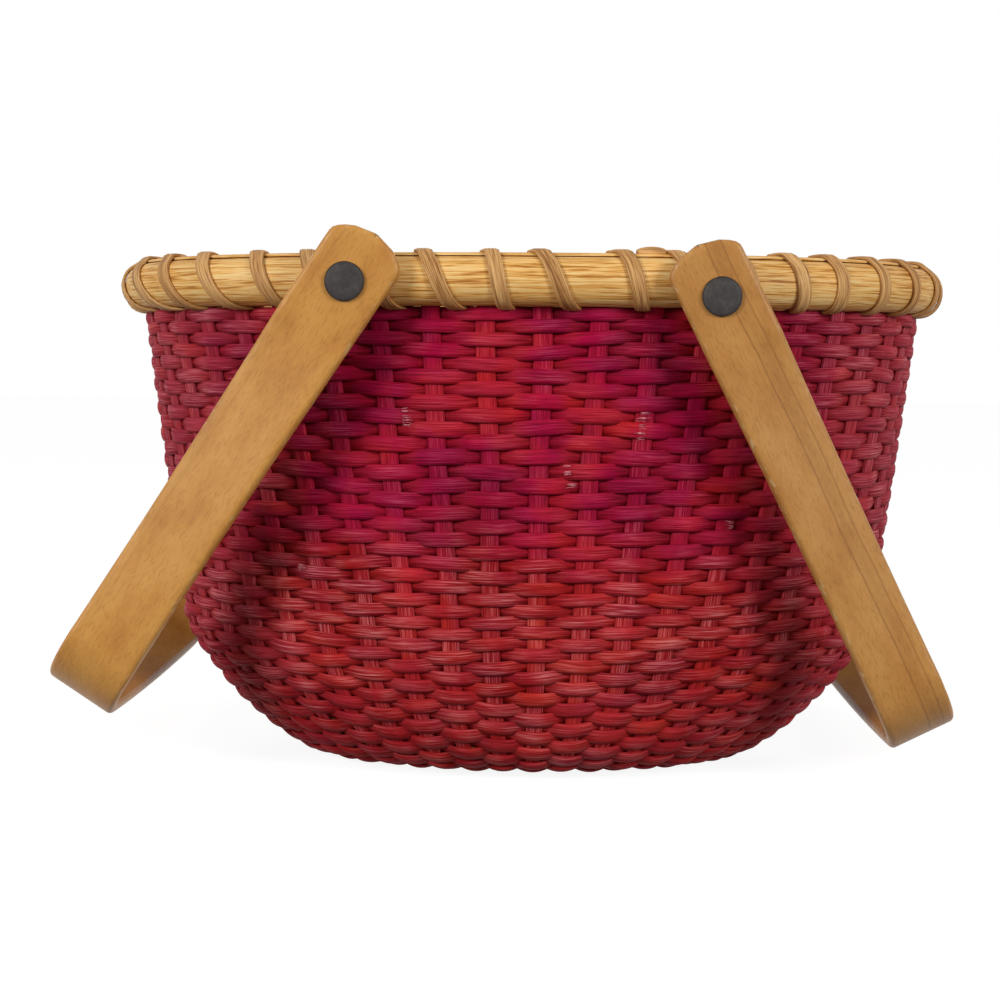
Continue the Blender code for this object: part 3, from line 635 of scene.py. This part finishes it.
def lash_skin(name, start, end, width):
    """One length of cane, wound from one turn to another."""
    wound = np.linspace(start, end, int((end - start) * CANE_STATIONS) + 1)
    share = np.interp(wound, np.append(turn_counts, lash_turns), np.append(turn_places, turn_places[0] + 1))
    place, outward = on_rim(share)
    path, path_facing = wrap_path()
    gone = gone_along(path)
    at_bottom = gone[len(gone) // 2] + CHANNEL_HALF
    gone_here = np.interp(wound % 1.0, (0.0, 0.5, 1.0), (0.0, at_bottom, gone[-1]))
    out, height = (np.interp(gone_here, gone, path[:, axis]) for axis in (0, 1))
    across, up = (np.interp(gone_here, gone, path_facing[:, axis]) for axis in (0, 1))
    place = place + outward * out[:, None]
    place[:, 2] = rim_level + height
    facing = outward * across[:, None]
    facing[:, 2] = up
    forward = np.gradient(place, axis=0)
    forward /= np.linalg.norm(forward, axis=1, keepdims=True)
    facing -= forward * (facing * forward).sum(axis=1, keepdims=True)
    facing /= np.linalg.norm(facing, axis=1, keepdims=True)
    aside = np.cross(forward, facing)
    # Flat-oval cane with five low ribs on its outer face
    crosswise = np.linspace(-1.0, 1.0, 21)
    ribs = 0.5 * np.sqrt(1 - (0.97 * crosswise) ** 4) - 0.07 * (1 + np.cos(5 * math.pi * crosswise))
    top = np.stack([crosswise * width / 2, ribs * CANE_THICKNESS], axis=1)
    under = np.stack([crosswise[::-4] * 0.94 * width / 2, np.full(6, -0.5 * CANE_THICKNESS)], axis=1)
    section = np.concatenate([top, under])
    rings = place[:, None] + aside[:, None] * section[None, :, :1] + facing[:, None] * section[None, :, 1:]
    grain = unbent(gone_along(place)[:, None], section[:, 0], section[:, 1])
    return lofted(name, rings, grain, binding_cane)


binding_cane = peeled_reed("flat_binding_cane", "#E2B476", "#C4935A", "#8A5C2E")
for name, start, end, node in (
        ("back_lashing_cane", 0.0, BACK_TURNS - CANE_CUT, "back_lashing"),
        ("front_lashing_cane", BACK_TURNS + CANE_CUT, lash_turns - CANE_CUT, "front_lashing")):
    cane = lash_skin(name, start, end, CANE_WIDTH)
    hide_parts(node)
    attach(cane, "basket")


# The cane's own end is left lying along the cap, humped over the turn that holds it. It starts
# and ends at shares of the way round
TAIL_START = 0.797
TAIL_END = 0.8095
TAIL_STATIONS = 12
TAIL_HUMP = 1.0 * MM
TAIL_SINK = 0.4 * MM
tail_shares = np.linspace(TAIL_START, TAIL_END, TAIL_STATIONS)
hump = np.sin(np.linspace(0.0, math.pi, TAIL_STATIONS)) ** 0.6
tail_path, tail_aside = on_rim(tail_shares)
tail_path[:, 2] = RIM_TOP + CAP_REST + CAP_THICKNESS + CANE_THICKNESS / 2
tail_flat = np.array([(-2.1, -0.3), (-1.9, -0.62), (1.9, -0.62), (2.1, -0.3),
                      (2.1, 0.3), (1.8, 0.62), (-1.8, 0.62), (-2.1, 0.3)]) * MM
rise = np.where(tail_flat[:, 1] > 0, TAIL_HUMP, -TAIL_SINK)
rings = tail_path[:, None] + tail_aside[:, None] * tail_flat[None, :, :1]
rings[..., 2] += tail_flat[None, :, 1] + hump[:, None] * rise[None, :]
grain = unbent((tail_shares * rim_length)[:, None], tail_flat[:, 0], tail_flat[:, 1])
tail = lofted("lashing_cane_tail", rings, grain, binding_cane)
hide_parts("front_lashing")
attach(tail, "basket")


# Swing handles
# Each is a strip of hardwood about 27 mm by 5 mm, steamed and bent to a U, sanded round at the
# edges and varnished a honey colour. It swings on two rivets through the rim.

HANDLE_THICKNESS = 4.8 * MM
HANDLE_EDGE = 1.7 * MM
HEAD_RADIUS = 18.7 * MM
# How square the head's corners are, as the power of a rounded square
HEAD_SQUARENESS = 26.0
BEND_RADIUS = 22.5 * MM
ARM_LEAN = math.radians(5.0)
ARM_TWIST = math.radians(13.0)
CROWN_BOW = math.radians(4.0)
SWING_GAP = 0.3 * MM
LASH_OUTSET = 11.3 * MM
# How far a growth line wanders across the strip
GROWTH_WANDER = 4 * MM
HEAD_STEPS = 26
ARM_STEPS = 40
BEND_STEPS = 21
CROWN_STEPS = 26
# Distance along the basket and height of each pivot
LEFT_PIVOT = (60.6 * MM, 174.6 * MM)
RIGHT_PIVOT = (63.4 * MM, 170.5 * MM)


def rim_front(offset, outset):
    """How far in front of the middle the rim stands, at an offset along the basket."""
    quarter = np.linspace(0.75, 1.0, 200)
    x, y = oval(TOP_HALF_LENGTH, TOP_HALF_WIDTH, quarter)
    dx, dy = np.gradient(x), np.gradient(y)
    size = np.hypot(dx, dy)
    return float(np.interp(offset, x + outset * dy / size, -(y - outset * dx / size)))


def arm_inner(offset):
    """How far in front of the middle an arm's inner face stands, clear of the lashing."""
    return rim_front(offset - HEAD_RADIUS, LASH_OUTSET) + SWING_GAP


def strip_middle(reach, arm_distance):
    """Half of the bent strip as distance from the middle, drop from the pivot and turn."""
    corner = math.pi / 2 - CROWN_BOW - ARM_LEAN
    out_of_bend = BEND_RADIUS * (math.cos(ARM_LEAN) - math.sin(CROWN_BOW))
    down_bend = BEND_RADIUS * (math.cos(CROWN_BOW) - math.sin(ARM_LEAN))
    middle_drop = reach - HANDLE_THICKNESS / 2
    lean_run = middle_drop - HEAD_RADIUS - down_bend
    # The arm's length and the crown's bow depend on each other, and settle in a few rounds
    for _ in range(8):
        crown_start = arm_distance - lean_run * math.tan(ARM_LEAN) - out_of_bend
        lean_run = middle_drop - HEAD_RADIUS - down_bend - crown_start * math.tan(CROWN_BOW / 2)
    head = [(arm_distance, drop, 0.0) for drop in np.linspace(-HEAD_RADIUS, HEAD_RADIUS, HEAD_STEPS)[:-1]]
    arm = [(arm_distance - lean_run * share * math.tan(ARM_LEAN), HEAD_RADIUS + lean_run * share, ARM_LEAN)
           for share in np.linspace(0.0, 1.0, ARM_STEPS)]
    distance, drop, _ = arm[-1]
    bend = [(distance - BEND_RADIUS * (math.cos(ARM_LEAN) - math.cos(turn)),
             drop + BEND_RADIUS * (math.sin(turn) - math.sin(ARM_LEAN)), turn)
            for turn in np.linspace(ARM_LEAN, ARM_LEAN + corner, BEND_STEPS)[1:]]
    distance, drop, _ = bend[-1]
    radius = distance / math.sin(CROWN_BOW)
    crown = [(radius * math.cos(turn), drop + radius * (math.sin(turn) - math.cos(CROWN_BOW)), turn)
             for turn in np.linspace(math.pi / 2 - CROWN_BOW, math.pi / 2, CROWN_STEPS)[1:]]
    return np.array(head + arm + bend + crown), lean_run


def handle_wood(name, light, middle, dark, growth_places):
    """Close-grained hardwood under honey varnish: soft clouds, faint flecks, a few growth lines."""
    finish, tree, shader = new_finish(name, {"Roughness": 0.45, "IOR": 1.5, "Specular IOR Level": 0.3,
                                             "Coat Weight": 0.05, "Coat Roughness": 0.3})
    grain = add(tree, "Attribute", attribute_name="grain").outputs["Vector"]
    edge = add(tree, "Attribute", attribute_name="proud").outputs["Fac"]
    # Clouds of varnish and wood about 25 mm long
    cloud = streaks(tree, grain, 40.0, 90.0, detail=4.0)
    colour = add(tree, "ValToRGB", {"Fac": cloud}, stops=((0.3, dark), (0.5, middle), (0.7, light)))
    # Flecks of the rays, 2 to 3 mm long and 0.5 mm wide
    fleck = streaks(tree, grain, 420.0, 1900.0, detail=2.0)
    fleck = add(tree, "ValToRGB", {"Fac": fleck},
                stops=((0.30, "#B9A48C"), (0.46, "#F4EEE6"), (0.62, "#FFFFFF")))
    colour = add(tree, "Mix", {"Factor": 0.38, "A": colour, "B": fleck},
                 data_type="RGBA", blend_type="MULTIPLY")
    # Long lines of the yearly growth, which wander from side to side
    parts = add(tree, "SeparateXYZ", {"Vector": grain})
    wander = add(tree, "TexNoise", {"W": parts.outputs["X"], "Scale": 14.0, "Detail": 2.0},
                 noise_dimensions="1D")
    shifted = add(tree, "Math", {0: wander, 1: GROWTH_WANDER, 2: parts.outputs["Y"]},
                  operation="MULTIPLY_ADD")
    for line_place, line_width, line_strength in growth_places:
        off = add(tree, "Math", {0: shifted, 1: line_place + GROWTH_WANDER / 2}, operation="SUBTRACT")
        off = add(tree, "Math", {0: off}, operation="ABSOLUTE")
        dark_line = add(tree, "MapRange", {"Value": off, "From Min": 0.0, "From Max": line_width,
                                           "To Min": line_strength, "To Max": 0.0},
                        interpolation_type="SMOOTHSTEP")
        colour = add(tree, "Mix", {"Factor": dark_line, "A": colour, "B": linear("#7A4A1E")},
                     data_type="RGBA")
    # The varnish is rubbed through to pale wood in nicks along the edges
    nick = streaks(tree, grain, 260.0, 700.0, detail=3.0)
    nick = add(tree, "MapRange", {"Value": nick, "From Min": 0.57, "From Max": 0.67, "To Max": 0.45})
    nick = add(tree, "Math", {0: nick, 1: edge}, operation="MULTIPLY")
    colour = add(tree, "Mix", {"Factor": nick, "A": colour, "B": linear("#E8CFA0")}, data_type="RGBA")
    dents = add(tree, "Bump", {"Height": cloud, "Strength": 0.25, "Distance": 0.3 * MM})
    fill(shader, {"Base Color": colour, "Normal": dents})
    return finish


def bent_strip(name, side, reach, head_width, crown_width, offset, height, rest_angle, finish):
    """The strip as one skin, bent, leaned, twisted and turned about its pivot to rest."""
    distance = arm_inner(offset) + HANDLE_THICKNESS / 2
    middle, lean_run = strip_middle(reach, distance)
    steps = gone_along(middle[:, :2])
    share = np.clip((middle[:, 1] - HEAD_RADIUS) / lean_run, 0.0, 1.0)
    half = (head_width + (crown_width - head_width) * share) / 2
    twist = -side * ARM_TWIST * np.sqrt(np.maximum(np.sin(math.pi * share), 0.0))
    # The head narrows round an arc about the pivot, short of its very end, where the width is none
    reach_up = np.clip(-middle[:, 1], 0.0, HEAD_RADIUS * 0.9995)
    chord = np.sqrt(HEAD_RADIUS ** 2 - reach_up ** 2)
    half = (half ** -HEAD_SQUARENESS + chord ** -HEAD_SQUARENESS) ** (-1 / HEAD_SQUARENESS)
    from_end = HEAD_RADIUS + middle[:, 1]
    # The back half is the front half in a mirror
    both = np.concatenate([middle, middle[-2::-1] * (-1, 1, 1)])
    turned = np.concatenate([middle[:, 2], math.pi - middle[-2::-1, 2]])
    half = np.concatenate([half, half[-2::-1]])
    twist = np.concatenate([twist, -twist[-2::-1]])
    from_end = np.concatenate([from_end, from_end[-2::-1]])
    along = np.concatenate([steps, 2 * steps[-1] - steps[-2::-1]])
    direction = np.stack([np.zeros_like(turned), np.sin(turned), -np.cos(turned)], axis=1)
    across, facing = [], []
    for forward, angle in zip(direction, twist):
        turn = Matrix.Rotation(angle, 3, Vector(forward))
        sideways = turn @ Vector((1.0, 0.0, 0.0))
        across.append(sideways)
        facing.append(sideways.cross(Vector(forward)))
    across, facing = np.array(across), np.array(facing)
    # Places across the strip, closer together where its edge is rounded
    edge = HANDLE_EDGE * (1 - np.cos(np.linspace(0.0, math.pi / 2, 6)))
    wide = np.maximum(half, 0.0)[:, None]
    edges = wide - np.minimum(edge[None, :], wide)
    flat = (wide - HANDLE_EDGE) * np.linspace(-1, 1, 13)[None, 1:-1]
    ys = np.concatenate([-edges, flat, edges[:, ::-1]], axis=1)
    # The edge is rounded off the same way round the end of the head
    to_arc = HEAD_RADIUS - np.hypot(ys, (HEAD_RADIUS - from_end)[:, None])
    to_end = np.where(from_end[:, None] < HEAD_RADIUS, to_arc, 1.0)
    inset = np.clip(np.minimum(wide - np.abs(ys), to_end), 0.0, HANDLE_EDGE)
    thick = HANDLE_THICKNESS / 2 - HANDLE_EDGE + np.sqrt(HANDLE_EDGE ** 2 - (HANDLE_EDGE - inset) ** 2)
    centre = np.stack([np.zeros(len(both)), -both[:, 0], -both[:, 1]], axis=1)
    outer = centre[:, None] + across[:, None] * ys[..., None] + facing[:, None] * thick[..., None]
    inner = centre[:, None] + across[:, None] * ys[..., None] - facing[:, None] * thick[..., None]
    rings = np.concatenate([outer, inner[:, ::-1]], axis=1)
    grain = unbent(along[:, None], np.concatenate([ys, ys[:, ::-1]], axis=1),
                   np.concatenate([thick, -thick[:, ::-1]], axis=1))
    edge_share = 1 - inset / HANDLE_EDGE
    edge_share = np.concatenate([edge_share, edge_share[:, ::-1]], axis=1)
    strip = lofted(name, rings, grain, finish, proud=edge_share)
    at_rest = (Matrix.Translation((side * offset, 0.0, height))
               @ Matrix.Rotation(math.radians(-side * rest_angle), 4, "Y"))
    strip.data.transform(at_rest)
    return strip


# Each growth line has its place across the strip, its half width and its strength
left_wood = handle_wood("honey_varnished_hardwood_left", "#CF964B", "#C58B40", "#B47834",
                        ((-9 * MM, 0.9 * MM, 0.12),))
right_wood = handle_wood("honey_varnished_hardwood_right", "#C08B49", "#B7803F", "#A87032",
                         ((2.5 * MM, 0.6 * MM, 0.5), (7.6 * MM, 0.6 * MM, 0.45), (5.0 * MM, 3.2 * MM, 0.18)))
# Side, reach, widths at head and crown, pivot, degrees out from hanging straight down, and wood
for body, name, side, reach, head_width, crown_width, pivot, angle, finish in (
        ("left_handle", "left_handle_strip", -1, 176.5 * MM, 27.6 * MM, 26.2 * MM,
         LEFT_PIVOT, 33.8, left_wood),
        ("right_handle", "right_handle_strip", 1, 171.6 * MM, 26.2 * MM, 24.3 * MM,
         RIGHT_PIVOT, 26.6, right_wood)):
    strip = bent_strip(name, side, reach, head_width, crown_width, *pivot, angle, finish)
    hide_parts(body)
    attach(strip, body)


# Rivets, burrs and spacers
# A darkened steel rivet goes through each arm's head, a wooden spacer and both rims, and is
# peened over a washer inside. It is dull and nearly black, with a faintly mottled skin.

SHANK_RADIUS = 2.3 * MM
BORE_RADIUS = 2.5 * MM
WASHER_RADIUS = 3.8 * MM
WASHER_BEVEL = 0.25 * MM
WASHER_THICKNESS = 1.2 * MM
# How far the spacer is let into the outer rim, and the washer into the inner one
SPACER_SEAT = 2.3 * MM
WASHER_SEAT = 1.5 * MM
HEAD_GAP = 0.1 * MM
WELD_DISTANCE = 0.01 * MM
SHARP_ANGLE = math.radians(38)
# Radius and height of the domed head over the arm, and of the peened end below the washer, in mm
HEAD_DOME = ((0.0, 1.75), (3.0, 1.72), (5.3, 1.6), (6.1, 1.35), (6.5, 0.9), (6.6, 0.4), (6.5, 0.0))
PEENED_END = ((3.1, 0.1), (3.0, 0.7), (1.9, 1.2), (0.0, 1.35))

darkened, tree, shader = new_finish("darkened_steel", {"Metallic": 0.75})
place = add(tree, "TexCoord").outputs["Object"]
mottle = add(tree, "TexNoise", {"Vector": place, "Scale": 420.0, "Detail": 5.0, "Roughness": 0.65})
skin = add(tree, "ValToRGB", {"Fac": mottle},
           stops=((0.35, "#332F2F"), (0.55, "#3C3837"), (0.72, "#48443F")))
dull = add(tree, "MapRange", {"Value": mottle, "To Min": 0.5, "To Max": 0.72})
pitted = add(tree, "Bump", {"Height": mottle, "Strength": 0.2, "Distance": 0.15 * MM})
fill(shader, {"Base Color": skin, "Roughness": dull, "Normal": pitted})


def turned(name, profile, pivot, facing, side, finish, slot, node):
    """A profile of (radius, distance from the middle plane) turned about a pivot's axis."""
    steps = np.linspace(0.0, 2 * math.pi, 49)[:-1]
    rings = np.empty((len(steps), len(profile), 3))
    for step, angle in enumerate(steps):
        for spot, (radius, distance) in enumerate(profile):
            rings[step, spot] = (side * pivot[0] + radius * math.cos(angle), facing * distance,
                                 pivot[1] + radius * math.sin(angle))
    piece = lofted(name, rings if facing > 0 else rings[::-1], rings, finish, closed=True)
    bm = bmesh.new()
    bm.from_mesh(piece.data)
    bmesh.ops.remove_doubles(bm, verts=bm.verts, dist=WELD_DISTANCE)
    bmesh.ops.recalc_face_normals(bm, faces=bm.faces)
    bm.to_mesh(piece.data)
    bm.free()
    piece.data.set_sharp_from_angle(angle=SHARP_ANGLE)
    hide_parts(node)
    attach(piece, "basket")


for side, side_name, pivot in ((-1, "left", LEFT_PIVOT), (1, "right", RIGHT_PIVOT)):
    offset = pivot[0]
    seat = arm_inner(offset) + HANDLE_THICKNESS + HEAD_GAP
    spacer_in = rim_front(offset, CHANNEL_HALF + OUTER_RIM_THICKNESS) - SPACER_SEAT
    spacer_out = arm_inner(offset) - HEAD_GAP
    burr_out = rim_front(offset, -CHANNEL_HALF - INNER_RIM_THICKNESS) + WASHER_SEAT
    burr_in = burr_out - WASHER_THICKNESS
    rivet = [(radius * MM, seat + rise * MM) for radius, rise in HEAD_DOME]
    rivet += [(SHANK_RADIUS, seat), (SHANK_RADIUS, burr_in - HEAD_GAP)]
    rivet += [(radius * MM, burr_in - drop * MM) for radius, drop in PEENED_END]
    rivet.append((0.0, seat))
    spacer = [(WASHER_RADIUS, spacer_out), (WASHER_RADIUS, spacer_in), (BORE_RADIUS, spacer_in),
              (BORE_RADIUS, spacer_out)]
    burr = [(WASHER_RADIUS, burr_out), (WASHER_RADIUS, burr_in + WASHER_BEVEL),
            (WASHER_RADIUS - WASHER_BEVEL, burr_in), (BORE_RADIUS, burr_in), (BORE_RADIUS, burr_out)]
    for facing, end_name in ((-1, "front"), (1, "back")):
        post = f"{side_name}_{end_name}"
        turned(f"{post}_rivet_head", rivet, pivot, facing, side, darkened, "rivet_metal", f"{post}_rivet")
        turned(f"{post}_washer", burr, pivot, facing, side, darkened, "rivet_metal", f"{post}_burr")
        turned(f"{post}_wood_spacer", spacer, pivot, facing, side, left_wood, "bent_wood", f"{post}_spacer")


# Floor, light and camera
# A sweep of matt white paper under the basket and two soft lamps in front, one on each side, as a
# shop photograph is lit. Seen straight, or in a shine, paper and room are white.

FLOOR_HALF = 6.0
PAPER_GLOW = 0.90
ROOM_LIGHT = 0.36
LAMP_SIZE = 0.5
LAMP_TARGET = Vector((0.0, 0.0, 0.10))
WHITE = (1.0, 1.0, 1.0, 1.0)
SHADED_GREY = (0.24, 0.24, 0.24, 1.0)


def seen_straight(tree):
    """1 for rays from the camera, from a shine and through clear stuff, else 0."""
    path = add(tree, "LightPath").outputs
    straight = add(tree, "Math", {0: path["Is Camera Ray"], 1: path["Is Glossy Ray"]},
                   operation="MAXIMUM")
    return add(tree, "Math", {0: straight, 1: path["Is Transmission Ray"]}, operation="MAXIMUM")


floor_mesh = bpy.data.meshes.new("floor")
floor_corners = [(x * FLOOR_HALF, y * FLOOR_HALF, 0.0) for x, y in ((-1, -1), (1, -1), (1, 1), (-1, 1))]
floor_mesh.from_pydata(floor_corners, [], [(0, 1, 2, 3)])
floor = bpy.data.objects.new("floor", floor_mesh)
bpy.context.scene.collection.objects.link(floor)
# Paper that glows to the camera nearly to white, and still darkens where the basket shades it
paper = bpy.data.materials.new("white_paper_sweep")
paper.use_nodes = True
tree = paper.node_tree
tree.nodes.clear()
lit = add(tree, "BsdfDiffuse", {"Color": linear("#686868")})
soft = add(tree, "BsdfDiffuse", {"Color": SHADED_GREY})
glow = add(tree, "Emission", {"Color": WHITE, "Strength": PAPER_GLOW})
seen = add(tree, "AddShader", {0: soft, 1: glow})
mixed = add(tree, "MixShader", {0: seen_straight(tree), 1: lit, 2: seen})
add(tree, "OutputMaterial", {"Surface": mixed})
floor_mesh.materials.append(paper)

world = bpy.data.worlds.new("studio")
bpy.context.scene.world = world
world.use_nodes = True
tree = world.node_tree
tree.nodes.clear()
dim = add(tree, "Background", {"Color": WHITE, "Strength": ROOM_LIGHT})
white = add(tree, "Background", {"Color": WHITE, "Strength": 1.0})
mixed = add(tree, "MixShader", {0: seen_straight(tree), 1: dim, 2: white})
add(tree, "OutputWorld", {"Surface": mixed})

# Each lamp's place and its watts
for name, lamp_place, power in (("left_lamp", (-0.95, -1.0, 0.60), 10.5),
                                ("right_lamp", (0.95, -1.0, 0.60), 9.5)):
    lamp = bpy.data.lights.new(name, "AREA")
    lamp.shape = "DISK"
    lamp.size = LAMP_SIZE
    lamp.energy = power
    item = bpy.data.objects.new(name, lamp)
    item.location = lamp_place
    item.rotation_euler = (LAMP_TARGET - Vector(lamp_place)).to_track_quat("-Z", "Y").to_euler()
    bpy.context.scene.collection.objects.link(item)

# The photograph is 1000 pixels square. The point straight ahead of the camera stands right of
# its middle and above it, and the picture leans by half a degree.
CAMERA_PLACE = Vector((4 * MM, -706.6 * MM, 149.2 * MM))
CAMERA_ROLL = math.radians(0.45)
SENSOR_WIDTH = 36.0
FOCAL_PIXELS = 1818.0
PICTURE_PIXELS = 1000
STRAIGHT_AHEAD_X = 539.0
STRAIGHT_AHEAD_Y = 360.0
camera = bpy.data.cameras.new("camera")
camera.sensor_width = SENSOR_WIDTH
camera.lens = FOCAL_PIXELS * SENSOR_WIDTH / PICTURE_PIXELS
viewpoint = bpy.data.objects.new("camera", camera)
bpy.context.scene.collection.objects.link(viewpoint)
pitch = math.atan((PICTURE_PIXELS / 2 - STRAIGHT_AHEAD_Y) / FOCAL_PIXELS)
yaw = math.atan((STRAIGHT_AHEAD_X - PICTURE_PIXELS / 2) / FOCAL_PIXELS)
viewpoint.matrix_world = (Matrix.Translation(CAMERA_PLACE) @ Matrix.Rotation(yaw, 4, "Z")
                          @ Matrix.Rotation(math.radians(90) - pitch, 4, "X")
                          @ Matrix.Rotation(CAMERA_ROLL, 4, "Z"))
bpy.context.scene.camera = viewpoint
bpy.context.scene.view_settings.view_transform = "Standard"
